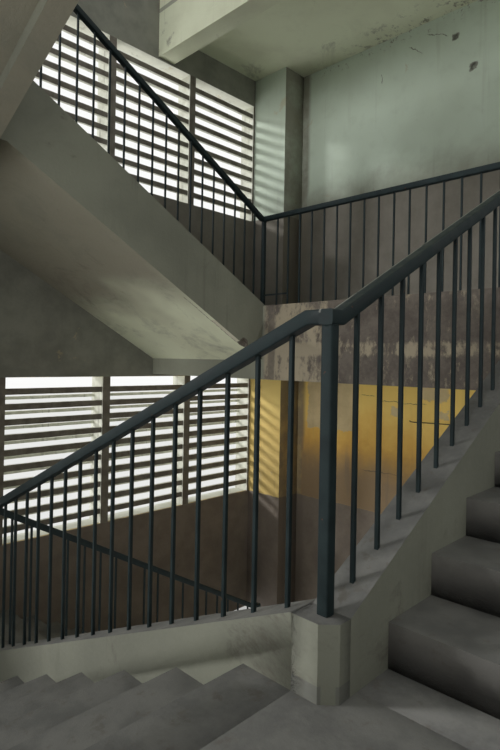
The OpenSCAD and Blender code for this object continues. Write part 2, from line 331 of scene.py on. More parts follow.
# The last is pale cement for chips, and on the nosings also a painted highlight
CEMENT, CEMENT_DUSTY, CEMENT_SCUFFED_AND_HIGHLIT = (0.110, 0.110, 0.103), (0.165, 0.163, 0.150), (0.290, 0.283, 0.256)
# Dark copies of the wash for the faces to the room: painted shade
PRECAST_SHADE, PRECAST_SHADE_PALE = (0.135, 0.118, 0.095), (0.205, 0.185, 0.152)
# A paler copy of the wash for the level faces of the window openings and louvre blades: painted light
LIT_REVEAL, LIT_REVEAL_DULL = (0.78, 0.78, 0.69), (0.64, 0.635, 0.55)
PAINT, PAINT_FADED = (0.010, 0.017, 0.018), (0.018, 0.029, 0.030)
# A pale line along a rail's arris: painted highlight
PAINT_HIGHLIGHT = (0.36, 0.36, 0.32)
RUST = (0.10, 0.040, 0.018)

# The upper dado with its painted shade is higher along the gallery, and the painted shade with soot above
# the dado reaches higher on the ochre than on the whitewash
UPPER_DADO_AND_SHADE_RAISED = 0.11
SHADED_AND_SMOKED_HIGHER = 0.36
OCHRE_DEEP_BELOW, OCHRE_CLEAR_ABOVE = 2.45, 3.20
# Places on the wall along the gallery as (along Y, height)
OLD_COAT_PATCHES = [((2.06, 3.25), (0.41, 0.52)), ((1.08, 3.06), (0.05, 0.05)),
                    ((0.57, 3.31), (0.17, 0.08)), ((0.46, 3.07), (0.06, 0.05))]
# Each with half its length and its slope in degrees
WALL_CRACKS = [((1.00, 3.18), 0.30, 0), ((1.25, 2.26), 0.26, 0), ((1.48, 3.24), 0.07, 0),
               ((0.60, 7.70), 0.11, 28), ((0.88, 7.62), 0.08, 35), ((1.35, 7.42), 0.03, 80)]
WALL_HOLES = [((0.38, 7.58), 0.028), ((0.16, 7.15), 0.034)]
WELL_FACE, UPSTAND_BACK = 1.38, 1.52
SPLASH_H = 0.05
# The stained beam: the height of its band of old wash, its dark stripe, and where its far part starts
BEAM_BAND_Z, BEAM_STRIPE_Y, BEAM_FAR_Y = 3.80, 1.30, 0.40
# Painted shade on the fourth flight's soffit: none beyond one place along X, and full before another
SHADE_FULL_BEFORE, SHADE_GONE_BEYOND = 0.55, 1.35
# Its lower arris over the well: where its end is broken out, its strip of mortar, and a seam
BROKEN_END = (Vector((1.10, WELL_FACE, 3.843)), 0.058)
PATCH_MIDDLE, PATCH_REACH = Vector((0.89, WELL_FACE + 0.020, 3.95)), Vector((0.17, 0.036, 0.16))
SEAM_X, SEAM_REACH, SEAM_Y = 0.72, 0.34, WELL_FACE + 0.060


def streaks(s, scale=9.0):
    """Vertical runs of dirt, long in Z."""
    return s.noise(scale, 5.0, 0.6, at=s.stretched((1, 1, 0.06)))


def storey_height(s):
    """Height above the floor of the storey that a point is in."""
    return s.maths("MODULO", s.maths("ADD", s.z, STOREY), STOREY)


def wall_crack(s, crack, wander):
    """A wavering hairline crack in a wall that runs in Y."""
    (y, z), reach, slope = crack
    turn = math.radians(slope)
    from_y, from_z = s.less(s.y, y), s.less(s.z, z)
    along = s.sum(s.times(from_y, math.cos(turn)), s.times(from_z, math.sin(turn)))
    across = s.sum(s.times(from_z, math.cos(turn)), s.times(from_y, -math.sin(turn)), wander)
    return s.times(s.within(across, 0.0, 0.0025, 0.003), s.within(along, 0.0, reach, 0.05))


def splashed(s):
    """1 in a low band over any landing or gallery floor, away from the well."""
    height, reach = storey_height(s), SPLASH_H / 2
    bands = [s.within(height, level + reach, reach, 0.004) for level in (0, LANDING_1, LANDING_2, STOREY)]
    behind = s.ramp(s.most(s.maths("ABSOLUTE", s.x), s.maths("ABSOLUTE", s.y)),
                    UPSTAND_BACK - 0.01, UPSTAND_BACK - 0.005)
    return s.times(s.most(*bands), behind)


def over_stairs(s):
    """0 where the louvred wall lies under the fourth flight or above the last storey's flights, else 1."""
    run = s.maths("MINIMUM", s.most(s.less(HALF, s.x), 0.0), SLOPE_RUN)
    floor = s.sum(s.times(run, LOUVRE.slope()), STOREY - SLAB)
    lowest = s.ramp(s.z, STOREY - SLAB - 0.1, STOREY - SLAB, 1.0, 0.0)
    shown = s.most(lowest, s.ramp(s.less(s.z, floor), 0.0, 0.01))
    below_top = s.ramp(s.z, 2 * STOREY - 0.01, 2 * STOREY, 1.0, 0.0)
    shown = s.times(shown, s.most(below_top, s.ramp(s.x, HALF - 0.15, HALF - 0.05)))
    return s.most(shown, s.ramp(s.y, FAR_COLUMN_Y - 0.15, FAR_COLUMN_Y - 0.10, 1.0, 0.0))


class WallSurface(Surface):
    """Plaster of the walls and columns, with the noises and the parts of the wall that its layers share."""

    def __init__(self, name):
        super().__init__(name)
        self.wide, self.mid = self.noise(0.55, 3.0), self.noise(3.2, 6.0, 0.62)
        self.uneven = self.ramp(self.mid, 0.3, 0.7)
        self.ragged = self.less(self.mid, 0.5)
        self.coarse_edge = self.swing(self.noise(11.0, 5.0, 0.7), 0.16)
        self.height = storey_height(self)
        self.inside = self.times(self.ramp(self.x, INNER_X + 0.02, INNER_X + 0.04, 1.0, 0.0),
                                 self.ramp(self.y, INNER_Y + 0.02, INNER_Y + 0.04, 1.0, 0.0))
        self.gallery = self.times(self.ramp(self.x, INNER_X - 0.05, INNER_X - 0.02), self.inside)
        self.sheltered = self.times(self.inside, self.ramp(self.x, -INNER_X + 0.005, -INNER_X + 0.01),
                                    self.ramp(self.y, -INNER_Y + 0.005, -INNER_Y + 0.01))
        self.far_end = self.ramp(self.y, FAR_COLUMN_Y - 0.10, FAR_COLUMN_Y - 0.05)
        self.upstairs = self.ramp(self.z, STOREY, STOREY + 0.01)


def wall_wash(s):
    """The washes, and where the ochre one is: on the ground storey's sheltered faces."""
    blotches = s.ramp(s.noise(7.0, 4.0), 0.5, 0.75)
    patchy = s.less(s.ramp(s.wide, 0.35, 0.65), s.times(blotches, 0.3))
    outer = s.mix(patchy, OUTER_DULL, OUTER_WASH)
    white = s.mix(s.sheltered, outer, s.mix(patchy, WHITEWASH_DULL, WHITEWASH))
    # Level faces in the window openings take a paler copy of the wash: painted light
    reveal = s.times(s.ramp(s.maths("ABSOLUTE", s.facing[2]), 0.5, 0.7),
                     s.ramp(s.y, INNER_Y, INNER_Y + 0.005))
    white = s.mix(reveal, white, s.mix(s.uneven, LIT_REVEAL_DULL, LIT_REVEAL))
    # The louvred wall's face to the room takes the dark copy of the wash: painted shade
    louvred = s.times(s.ramp(s.y, INNER_Y - 0.004, INNER_Y - 0.001), s.inside, s.rest(reveal))
    white = s.mix(louvred, white, s.mix(s.uneven, SHADED_DULL, SHADED_WASH))
    ochre = s.mix(s.ramp(s.sum(s.z, s.ragged), OCHRE_DEEP_BELOW, OCHRE_CLEAR_ABOVE), OCHRE_LOW, OCHRE)
    # The far right column and the wall by it take a paler ochre: painted light
    ochre = s.mix(s.times(s.far_end, 0.75), ochre, LIT_OCHRE)
    ground = s.ramp(s.sum(s.z, s.times(s.ragged, 0.04)), HEAD + 0.03, HEAD + 0.05, 1.0, 0.0)
    ground = s.times(ground, s.sheltered, s.rest(louvred))
    return s.mix(ground, white, ochre), ground


def wall_flakes(s):
    """Where the wash has flaked off the older coat."""
    flaked = s.times(s.ramp(s.noise(1.9, 8.0, 0.70, warp=0.4), 0.63, 0.65), 0.35)
    for (y, z), (reach_y, reach_z) in OLD_COAT_PATCHES:
        off = s.most(s.away(s.y, y, reach_y), s.away(s.z, z, reach_z))
        patch = s.ramp(s.sum(off, s.coarse_edge), -0.006, 0.006, 1.0, 0.0)
        flaked = s.most(flaked, s.times(patch, s.gallery))
    return flaked


def wall_dado_and_shade(s):
    """Where the dado and its painted shade are: along the stairs and galleries, up to the sills."""
    raised = s.times(s.upstairs, s.gallery, -UPPER_DADO_AND_SHADE_RAISED)
    dado_and_shade = s.ramp(s.sum(s.height, s.times(s.ragged, 0.05), raised), SILL - 0.008, SILL + 0.008, 1.0, 0.0)
    return s.times(dado_and_shade, s.inside, over_stairs(s))


def wall_grime_and_shade(s, ground, dado_and_shade):
    """Where painted shade with soot fades out above the dado, dirt has run down, and mould gathers under
    the ceilings.
    """
    soot_and_shade = s.sum(s.height, s.times(s.ragged, 0.45), s.times(ground, -SHADED_AND_SMOKED_HIGHER))
    soot_and_shade = s.ramp(soot_and_shade, SILL, SILL + 0.60, 0.8, 0.0)
    soot_and_shade = s.times(soot_and_shade, s.rest(s.times(s.far_end, 0.85)), s.inside, over_stairs(s), s.rest(dado_and_shade))
    ceiling = STOREY - SLAB
    mould = s.times(s.ramp(s.height, ceiling - 0.23, ceiling - 0.02),
                    s.ramp(s.noise(12.0, 7.0, 0.8), 0.57, 0.61))
    runs = s.times(s.ramp(streaks(s), 0.58, 0.74), s.ramp(s.inside, 0, 1, 0.5, 0.15))
    grime_and_shade = s.maths("MINIMUM", s.sum(soot_and_shade, runs), 0.85)
    grime_and_shade = s.most(grime_and_shade, s.times(mould, s.gallery, 0.8))
    # Painted shade and dirt on the face of the far right column towards the gallery, and on the wall beside
    # it
    corner = s.most(s.turned(1, -1), s.ramp(s.x, INNER_X - 0.05, INNER_X - 0.02))
    corner = s.times(corner, s.within(s.y, FAR_COLUMN_Y - 0.03, 0.05, 0.08), s.inside)
    corner = s.times(corner, s.ramp(s.x, HALF, WELL))
    return s.most(grime_and_shade, s.times(corner, s.ramp(s.mid, 0.3, 0.6, 0.6, 0.85)))


def wall_plaster(name, edge=False):
    """Whitewash above, ochre wash on the ground storey, a dark dado with painted shade up to the sills,
    peeling in places.
    """
    s = WallSurface(name)
    fine = s.noise(38.0, 4.0, 0.7)
    colour, ground = wall_wash(s)
    flaked = wall_flakes(s)
    colour = s.mix(flaked, colour, s.mix(s.uneven, OLD_COAT, OLD_COAT_PALE))
    dado_and_shade = wall_dado_and_shade(s)
    # The dado's dark brown is partly painted shade
    colour = s.mix(dado_and_shade, colour, s.mix(s.upstairs, s.mix(s.uneven, DADO_AND_SHADE, DADO_AND_SHADE_PALE),
                                       s.mix(s.uneven, UPPER_DADO_AND_SHADE, UPPER_DADO_AND_SHADE_PALE)))
    # Painted shade with soot above the dado, and painted shade with dirt by the far right column
    colour = s.mix(wall_grime_and_shade(s, ground, dado_and_shade), colour, s.mix(ground, SOOT_AND_SHADE, DADO_AND_SHADE))
    wander = s.swing(s.noise(4.0, 6.0, 0.75), 0.12)
    crack = s.times(s.most(*[wall_crack(s, line, wander) for line in WALL_CRACKS]), s.gallery)
    colour = s.mix(s.times(crack, 0.85), colour, GRIME)
    for (y, z), reach in WALL_HOLES:
        ring = s.most(s.away(s.y, y, reach), s.away(s.z, z, reach))
        ring = s.ramp(s.sum(ring, s.times(s.coarse_edge, 0.5)), 0.0, 0.02, 0.8, 0.0)
        colour = s.mix(s.times(ring, s.gallery), colour, GRIME)
    if edge:
        colour = s.mix(s.ramp(s.noise(16.0, 5.0, 0.7), 0.5, 0.56), colour, CEMENT_SCUFFED_AND_HIGHLIT)
    relief = s.sum(s.times(fine, 0.25), s.times(s.mid, 0.8), s.times(flaked, -0.35), s.times(crack, -0.5))
    return s.finish(colour, s.ramp(fine, 0.2, 0.8, 0.72, 0.95), relief, 0.012, 0.6)


def beam_damp(s, peel):
    """The stained beam's brown face, and where damp darkens it between remains of the old wash."""
    band = s.within(storey_height(s), BEAM_BAND_Z, 0.03, 0.06)
    far = s.ramp(s.y, BEAM_FAR_Y, BEAM_FAR_Y + 0.20)
    mottle = s.sum(s.noise(6.0, 8.0, 0.78, at=s.stretched((1, 1, 0.5))), s.times(peel, 0.5))
    damp = s.ramp(s.sum(mottle, s.times(band, -0.13), s.times(far, -0.12)), 0.57, 0.72)
    stripe = s.within(s.sum(s.y, s.times(peel, 0.1)), BEAM_STRIPE_Y, 0.03, 0.03)
    face = s.times(s.turned(0, -1), s.ramp(s.y, WELL_FACE - 0.06, WELL_FACE, 1.0, 0.0))
    return face, s.times(s.most(damp, s.times(stripe, 0.8)), face)


def patched_arris(s, colour, under):
    """The fourth flight's arris: a strip of pale mortar below it, a seam, and the broken end."""
    wander = s.swing(s.noise(22.0, 4.0, 0.7), 0.05)
    wavering_y = s.sum(s.y, wander)
    strip = s.times(s.within(s.x, PATCH_MIDDLE.x, PATCH_REACH.x, 0.02),
                    s.within(wavering_y, PATCH_MIDDLE.y, PATCH_REACH.y, 0.004),
                    s.within(s.z, PATCH_MIDDLE.z, PATCH_REACH.z, 0.02), under)
    colour = s.mix(strip, colour, MORTAR)
    seam = s.times(s.within(wavering_y, SEAM_Y, 0.003, 0.003), s.within(s.x, SEAM_X, SEAM_REACH, 0.02))
    colour = s.mix(s.times(seam, under, 0.8), colour, GRIME)
    middle, reach = BROKEN_END
    off = add(s.tree, "ShaderNodeVectorMath", {0: s.place, 1: middle}, operation="DISTANCE")
    off = s.sum(off.outputs["Value"], s.times(wander, 0.6))
    hollow = s.ramp(off, reach, reach + 0.012, 1.0, 0.0)
    rubble = s.mix(s.ramp(s.noise(60.0, 4.0, 0.7), 0.42, 0.58), GRIME, DAMP_LIGHT)
    return s.mix(hollow, colour, rubble)


def cast_concrete(name, edge=False, wash=WASH, dull=WASH_DULL, floors=True, stained=False):
    """Washed concrete of beams, soffits and stringers, with trowelled cement on top of them."""
    s = Surface(name)
    wide, mid, fine = s.noise(0.8, 3.0), s.noise(4.5, 6.0, 0.65), s.noise(45.0, 4.0, 0.7)
    colour = s.mix(s.ramp(wide, 0.32, 0.68), dull, wash)
    upright = s.ramp(s.maths("ABSOLUTE", s.facing[2]), 0.3, 0.6, 1.0, 0.0)
    under = s.turned(2, -1)
    # Undersides take a far paler wash than the upright faces of the same concrete: painted light on the
    # soffits, while the darker upright wash is partly the concrete's own tone and partly painted shade
    soffit = s.mix(s.ramp(wide, 0.32, 0.68), LIT_CEILING_DULL, LIT_CEILING_WASH)
    if not floors:
        # Painted shade on the soffit, fading out towards the fourth flight's lower end
        soffit_shade = s.ramp(s.sum(s.x, s.times(wide, 1.2)), SHADE_FULL_BEFORE, SHADE_GONE_BEYOND, 1.0, 0.0)
        soffit = s.mix(s.times(soffit_shade, 0.85), soffit, SHADED_SOFFIT)
    colour = s.mix(under, colour, soffit)
    colour = s.mix(s.times(s.ramp(s.noise(2.2, 6.0, 0.7, warp=0.5), 0.5, 0.7), 0.4), colour, dull)
    peel = s.noise(1.3, 8.0, 0.74, warp=0.6)
    if stained:
        face, damp = beam_damp(s, peel)
        colour = s.mix(face, colour, STAINED_WASH)
    else:
        damp = s.times(s.ramp(peel, 0.58, 0.68), s.ramp(upright, 0, 1, 0.35, 0.6))
    damp_colour = s.mix(s.ramp(s.noise(6.0, 6.0, 0.7), 0.35, 0.65), DAMP, DAMP_LIGHT)
    colour = s.mix(damp, colour, damp_colour)
    runs = s.times(s.ramp(streaks(s, 12.0), 0.58, 0.74), upright, 0.25)
    colour = s.mix(runs, colour, GRIME)
    # Mould flakes along the joint of ceiling and wall
    mould = s.times(s.ramp(s.x, INNER_X - 0.55, INNER_X - 0.05), under)
    fewer_far_off = s.ramp(s.y, 1.2, 2.0, 0.7, 0.1)
    mould = s.times(mould, s.ramp(s.noise(8.0, 7.0, 0.8), 0.54, 0.60), fewer_far_off)
    colour = s.mix(mould, colour, GRIME)
    top = s.mix(s.ramp(mid, 0.35, 0.65), CEMENT, CEMENT_DUSTY)
    top = s.mix(s.times(s.ramp(s.noise(14.0, 6.0, 0.7), 0.55, 0.68), 0.5), top, GRIME)
    colour = s.mix(s.ramp(s.facing[2], 0.4, 0.7), colour, top)
    if floors:
        colour = s.mix(s.times(splashed(s), upright, 0.6), colour, CEMENT)
    if edge:
        colour = s.mix(s.ramp(s.noise(14.0, 5.0, 0.7), 0.48, 0.54), colour, CEMENT_SCUFFED_AND_HIGHLIT)
    if not floors:
        colour = patched_arris(s, colour, under)
    relief = s.sum(s.times(fine, 0.3), s.times(mid, 0.7), s.times(damp, -0.3))
    return s.finish(colour, s.ramp(fine, 0.2, 0.8, 0.7, 0.95), relief, 0.010, 0.6)


def precast_concrete(name, edge=False):
    """Weathered concrete of mullions and louvre blades: washed outside, with painted light on the faces
    that neither face out nor face the room, and painted shade on the faces to the room.
    """
    s = Surface(name)
    mid, fine = s.noise(7.0, 6.0, 0.65), s.noise(70.0, 4.0, 0.7)
    # Painted shade on the faces to the room, and painted light, the paler reveal wash, on the other faces
    # that don't face out
    room_side = s.times(s.ramp(s.facing[1], -0.7, -0.4, 1.0, 0.0),
                        s.ramp(s.y, INNER_Y + 0.10, INNER_Y + 0.12, 1.0, 0.0))
    outward = s.most(s.turned(1, 1), s.ramp(s.maths("ABSOLUTE", s.x), OUTER_X - 0.02, OUTER_X - 0.01))
    patchy = s.ramp(mid, 0.35, 0.65)
    washed = s.mix(patchy, s.mix(outward, LIT_REVEAL_DULL, OUTER_DULL), s.mix(outward, LIT_REVEAL, OUTER_WASH))
    colour = s.mix(room_side, washed, s.mix(patchy, PRECAST_SHADE, PRECAST_SHADE_PALE))
    colour = s.mix(s.times(s.ramp(streaks(s, 16.0), 0.55, 0.7), 0.4), colour, GRIME)
    if edge:
        colour = s.mix(s.ramp(s.noise(20.0, 5.0, 0.7), 0.5, 0.56), colour, CEMENT_SCUFFED_AND_HIGHLIT)
    relief = s.sum(s.times(fine, 0.4), mid)
    return s.finish(colour, s.ramp(fine, 0.2, 0.8, 0.75, 0.97), relief, 0.006, 0.7)


def step_cement(name, edge=False):
    """Trowelled cement, dusty on the treads, with painted shade on the risers, and scuffed pale with a
    painted highlight along the nosings.
    """
    s = Surface(name)
    mid, fine = s.noise(6.0, 6.0, 0.62), s.noise(90.0, 4.0, 0.7)
    colour = s.mix(s.ramp(mid, 0.35, 0.65), CEMENT, CEMENT_DUSTY)
    riser = s.ramp(s.facing[2], 0.3, 0.6, 1.0, 0.0)
    # Painted shade on the risers
    colour = s.mix(s.times(riser, 0.25), colour, GRIME)
    colour = s.mix(s.times(s.ramp(s.noise(14.0, 6.0, 0.7), 0.55, 0.68), 0.4), colour, GRIME)
    if edge:
        # Scuffs and a painted highlight on the rounded nosings
        colour = s.mix(s.ramp(mid, 0.3, 0.6, 0.55, 1.0), colour, CEMENT_SCUFFED_AND_HIGHLIT)
    relief = s.sum(s.times(fine, 0.5), mid)
    return s.finish(colour, s.ramp(mid, 0.3, 0.7, 0.6, 0.9), relief, 0.004, 0.6)


def railing_paint(name="railing_paint"):
    """Blue-black paint, brushed on thickly, with a painted highlight along the marked arris of a highlit
    rail.
    """
    s = Surface(name)
    mid, fine = s.noise(14.0, 6.0, 0.6), s.noise(160.0, 3.0, 0.6)
    arris, highlit = (add(s.tree, "ShaderNodeAttribute", attribute_name=mark).outputs["Fac"]
                     for mark in ("arris", "highlit"))
    colour = s.mix(s.ramp(mid, 0.3, 0.7), PAINT, PAINT_FADED)
    # A painted highlight along the upper arris on the well side
    highlight = s.times(s.ramp(arris, 0.80, 0.92), s.ramp(mid, 0.34, 0.46), highlit)
    colour = s.mix(s.times(highlight, 0.8), colour, PAINT_HIGHLIGHT)
    chipped = s.ramp(s.noise(30.0, 4.0, 0.6), 0.70, 0.74)
    colour = s.mix(s.times(chipped, 0.8), colour, RUST)
    s.shader.inputs["Specular IOR Level"].default_value = 0.16
    relief = s.sum(s.times(fine, 0.4), s.times(chipped, -0.8))
    return s.finish(colour, s.ramp(mid, 0.3, 0.7, 0.46, 0.64), relief, 0.002, 0.5)


# Worn copies of the cast and plastered pieces

CHIP_SPACING, CHIP_SHIFT = 0.09, 0.3
# Shares of the widest chip: at a chipped stretch of an arris, and along the rest of it
CHIPPED_SHARE = 0.10
CHIPPED, ROUNDED = (0.8, 1.0), (0.28, 0.5)
RAGGED = 0.25
CONVEX = math.radians(20)
PROBE = 0.004
OPEN_WORK = ("railing", "newel", "gallery_railing", "near_railings", "left_railings", "louvre_blades")


def solid_trees():
    """A search tree and box for each solid node, to find where two of them touch."""
    found = {}
    for name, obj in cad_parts.items():
        if not name.startswith(OPEN_WORK):
            points = [v.co.copy() for v in obj.data.vertices]
            tree = BVHTree.FromPolygons(points, [p.vertices[:] for p in obj.data.polygons])
            found[name] = (tree, *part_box(name))
    return found


def holds(tree, low, high, place):
    """True where a place lies in a closed solid: a ray from it crosses an odd number of faces."""
    if any(place[i] < low[i] or place[i] > high[i] for i in range(3)):
        return False
    way = Vector((0.137, 0.291, 0.947)).normalized()
    crossings = 0
    hit = tree.ray_cast(place, way)[0]
    while hit is not None:
        crossings += 1
        hit = tree.ray_cast(hit + way * 1e-5, way)[0]
    return crossings % 2 == 1


def is_joint(edge, others):
    """True where another solid lies against one of the two faces that meet at an arris."""
    middle = (edge.verts[0].co + edge.verts[1].co) / 2
    a, b = (face.normal * PROBE for face in edge.link_faces)
    return any(holds(*other, middle + out - back) for other in others for out, back in ((a, b), (b, a)))


def plain_mesh(obj, name):
    """The object with its modifiers worked in, as a mesh object at the origin."""
    evaluated = obj.evaluated_get(bpy.context.evaluated_depsgraph_get())
    mesh = bpy.data.meshes.new_from_object(evaluated)
    mesh.name = name
    bpy.data.objects.remove(obj)
    return linked(name, mesh)


def cut_arrises(shape, draw):
    """Cuts the convex arrises at uneven places, so that each stretch can be worn by itself."""
    arrises = [e for e in shape.edges if len(e.link_faces) == 2 and e.calc_face_angle_signed(0) > CONVEX]
    for edge in arrises:
        cuts = int(edge.calc_length() / CHIP_SPACING) - 1
        if cuts > 0:
            along = (edge.verts[1].co - edge.verts[0].co).normalized()
            made = bmesh.ops.bisect_edges(shape, edges=[edge], cuts=cuts)["geom_split"]
            for vert in (g for g in made if isinstance(g, bmesh.types.BMVert)):
                vert.co += along * draw.uniform(-CHIP_SHIFT, CHIP_SHIFT) * CHIP_SPACING


def weigh_arrises(shape, draw, others):
    """Gives each free stretch of arris its share of the widest chip."""
    weight = shape.edges.layers.float.new("bevel_weight_edge")
    for edge in shape.edges:
        if len(edge.link_faces) != 2:
            continue
        angle = edge.calc_face_angle_signed(0)
        rounding = draw.uniform(*(CHIPPED if draw.random() < CHIPPED_SHARE else ROUNDED))
        if angle > CONVEX and not is_joint(edge, others):
            edge[weight] = rounding
        edge.smooth = angle > -CONVEX


def worn_copy(node, finish, width, trees, broken=None):
    """Stands for a node: the same solid, its free arrises rounded unevenly and chipped here and there."""
    shape = bmesh.new()
    shape.from_mesh(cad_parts[node].data)
    bmesh.ops.remove_doubles(shape, verts=shape.verts, dist=1e-5)
    bmesh.ops.dissolve_limit(shape, angle_limit=math.radians(1), verts=shape.verts, edges=shape.edges)
    bmesh.ops.recalc_face_normals(shape, faces=shape.faces)
    draw = random.Random(node)
    cut_arrises(shape, draw)
    weigh_arrises(shape, draw, [tree for name, tree in trees.items() if name != node])
    for face in shape.faces:
        face.smooth = True
    mesh = bpy.data.meshes.new(node + "_cast")
    shape.to_mesh(mesh)
    shape.free()
    rough = linked(node + "_rough", mesh)
    if broken:
        rough.modifiers.new("holes", "BOOLEAN").object = broken
    mesh.materials.append(finish[0])
    mesh.materials.append(finish[1])
    bevel = rough.modifiers.new("arris", "BEVEL")
    bevel.limit_method = "WEIGHT"
    bevel.width = width
    bevel.segments = 2
    bevel.material = 1
    normals = rough.modifiers.new("flat faces", "WEIGHTED_NORMAL")
    normals.keep_sharp = True
    piece = plain_mesh(rough, node + "_worn")
    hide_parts(node)
    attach(piece, "root")


def cutter(name, lumps):
    """Ragged lumps, each at a place with its reach, that break holes out of a piece."""
    shape = bmesh.new()
    for middle, reach in lumps:
        place = Matrix.Translation(middle)
        made = bmesh.ops.create_icosphere(shape, subdivisions=2, radius=reach, matrix=place)["verts"]
        draw = random.Random(reach)
        for vert in made:
            vert.co += (vert.co - place.translation) * draw.uniform(-RAGGED, RAGGED)
    mesh = bpy.data.meshes.new(name)
    shape.to_mesh(mesh)
    shape.free()
    return linked(name, mesh)


# Geometry trees

WELD_FLATNESS = 0.45
# How many times further a bar may turn about itself than it leans
TURN_TO_LEAN = 8


def new_tree(name, inputs):
    tree = bpy.data.node_groups.new(name, "GeometryNodeTree")
    tree.interface.new_socket("Geometry", in_out="INPUT", socket_type="NodeSocketGeometry")
    for label, kind in inputs:
        tree.interface.new_socket(label, in_out="INPUT", socket_type="NodeSocket" + kind)
    tree.interface.new_socket("Geometry", in_out="OUTPUT", socket_type="NodeSocketGeometry")
    return tree, add(tree, "NodeGroupInput").outputs


def ended(tree, last, material):
    """Ends a tree after its last node: smooth shading and the material."""
    smooth = add(tree, "GeometryNodeSetShadeSmooth", {0: last.outputs[0]})
    done = add(tree, "GeometryNodeSetMaterial", {"Geometry": smooth.outputs[0], "Material": material})
    add(tree, "NodeGroupOutput", {0: done.outputs[0]})
    return tree


def run_tree(tree, name, mesh, values):
    """Puts a tree on a mesh with its inputs set, and returns the plain result."""
    carrier = linked(name + "_carrier", mesh)
    modifier = carrier.modifiers.new("tree", "NODES")
    modifier.node_group = tree
    for item in tree.interface.items_tree:
        if item.in_out == "INPUT" and item.name in values:
            modifier[item.identifier] = values[item.name]
    return plain_mesh(carrier, name)


def rounded_section(tree, width, height, radius):
    """A rounded rectangle."""
    box = add(tree, "GeometryNodeCurvePrimitiveQuadrilateral", {"Width": width, "Height": height})
    return add(tree, "GeometryNodeFilletCurve", {"Curve": box.outputs[0], "Count": 3, "Radius": radius},
               mode="POLY").outputs[0]


def highlit_section(tree, section):
    """The section with its upper corner on the side of the well marked in the attribute arris."""
    position = add(tree, "GeometryNodeInputPosition").outputs[0]
    place = add(tree, "ShaderNodeSeparateXYZ", {0: position}).outputs
    halves = [add(tree, "ShaderNodeMath", {0: place[i], 1: 0.0}, operation="LESS_THAN").outputs[0]
              for i in (0, 1)]
    marked = add(tree, "ShaderNodeMath", {0: halves[0], 1: halves[1]}, operation="MULTIPLY").outputs[0]
    return add(tree, "GeometryNodeStoreNamedAttribute", {
        "Geometry": section, "Name": "arris", "Value": marked}).outputs[0]


def railing_tree():
    """Edges become rails of rounded section; loose points become upright bars with a weld above."""
    tree, given = new_tree("Railing", [
        ("Handrail Width", "Float"), ("Handrail Height", "Float"), ("Corner Radius", "Float"),
        ("Weld Margin", "Float"), ("Lean", "Float"), ("Seed", "Int"), ("Paint", "Material")])
    bar_h = add(tree, "GeometryNodeInputNamedAttribute", {"Name": "bar_height"}).outputs[0]
    bar_w = add(tree, "GeometryNodeInputNamedAttribute", {"Name": "bar_width"}).outputs[0]
    is_bar = add(tree, "FunctionNodeCompare", {0: bar_h, 1: 0.0}, operation="GREATER_THAN").outputs[0]
    split = add(tree, "GeometryNodeSeparateGeometry", {"Geometry": given["Geometry"], "Selection": is_bar})
    line = add(tree, "GeometryNodeMeshToCurve", {"Mesh": split.outputs["Inverted"]})
    line = add(tree, "GeometryNodeSetCurveNormal", {"Curve": line.outputs[0]}, mode="Z_UP")
    section = highlit_section(tree, rounded_section(
        tree, given["Handrail Width"], given["Handrail Height"], given["Corner Radius"]))
    share = add(tree, "GeometryNodeInputNamedAttribute", {"Name": "rail_share"}).outputs[0]
    rail = add(tree, "GeometryNodeCurveToMesh", {
        "Curve": line.outputs[0], "Profile Curve": section, "Scale": share, "Fill Caps": True})
    unit = add(tree, "GeometryNodeCurvePrimitiveLine", {"Start": (0, 0, 0), "End": (0, 0, 1)})
    square = rounded_section(tree, 1.0, 1.0, 0.16)
    bar = add(tree, "GeometryNodeCurveToMesh", {
        "Curve": unit.outputs[0], "Profile Curve": square, "Fill Caps": True})
    size = add(tree, "ShaderNodeCombineXYZ", {0: bar_w, 1: bar_w, 2: bar_h})
    lean = add(tree, "ShaderNodeVectorMath", {0: (1, 1, TURN_TO_LEAN)}, operation="SCALE")
    tree.links.new(given["Lean"], lean.inputs["Scale"])
    back = add(tree, "ShaderNodeVectorMath", {0: lean.outputs[0]}, operation="SCALE")
    back.inputs["Scale"].default_value = -1.0
    turn = add(tree, "FunctionNodeRandomValue", {
        0: back.outputs[0], 1: lean.outputs[0], "Seed": given["Seed"]}, data_type="FLOAT_VECTOR")
    bars = add(tree, "GeometryNodeInstanceOnPoints", {
        "Points": split.outputs["Selection"], "Instance": bar.outputs[0], "Rotation": turn.outputs[0],
        "Scale": size.outputs[0]})
    blob = add(tree, "GeometryNodeMeshIcoSphere", {"Radius": 1.0, "Subdivisions": 2})
    weld_size = add(tree, "ShaderNodeMath", {0: bar_w, 1: 0.5, 2: given["Weld Margin"]},
                    operation="MULTIPLY_ADD").outputs[0]
    up = add(tree, "ShaderNodeCombineXYZ", {2: bar_h})
    tops = add(tree, "GeometryNodeSetPosition", {
        "Geometry": split.outputs["Selection"], "Offset": up.outputs[0]})
    flat = add(tree, "ShaderNodeMath", {0: weld_size, 1: WELD_FLATNESS}, operation="MULTIPLY").outputs[0]
    weld_scale = add(tree, "ShaderNodeCombineXYZ", {0: weld_size, 1: weld_size, 2: flat})
    welds = add(tree, "GeometryNodeInstanceOnPoints", {
        "Points": tops.outputs[0], "Instance": blob.outputs[0], "Scale": weld_scale.outputs[0]})
    joined = add(tree, "GeometryNodeJoinGeometry")
    for part in (welds, bars, rail):
        tree.links.new(part.outputs[0], joined.inputs[0])
    real = add(tree, "GeometryNodeRealizeInstances", {0: joined.outputs[0]})
    return ended(tree, real, given["Paint"])


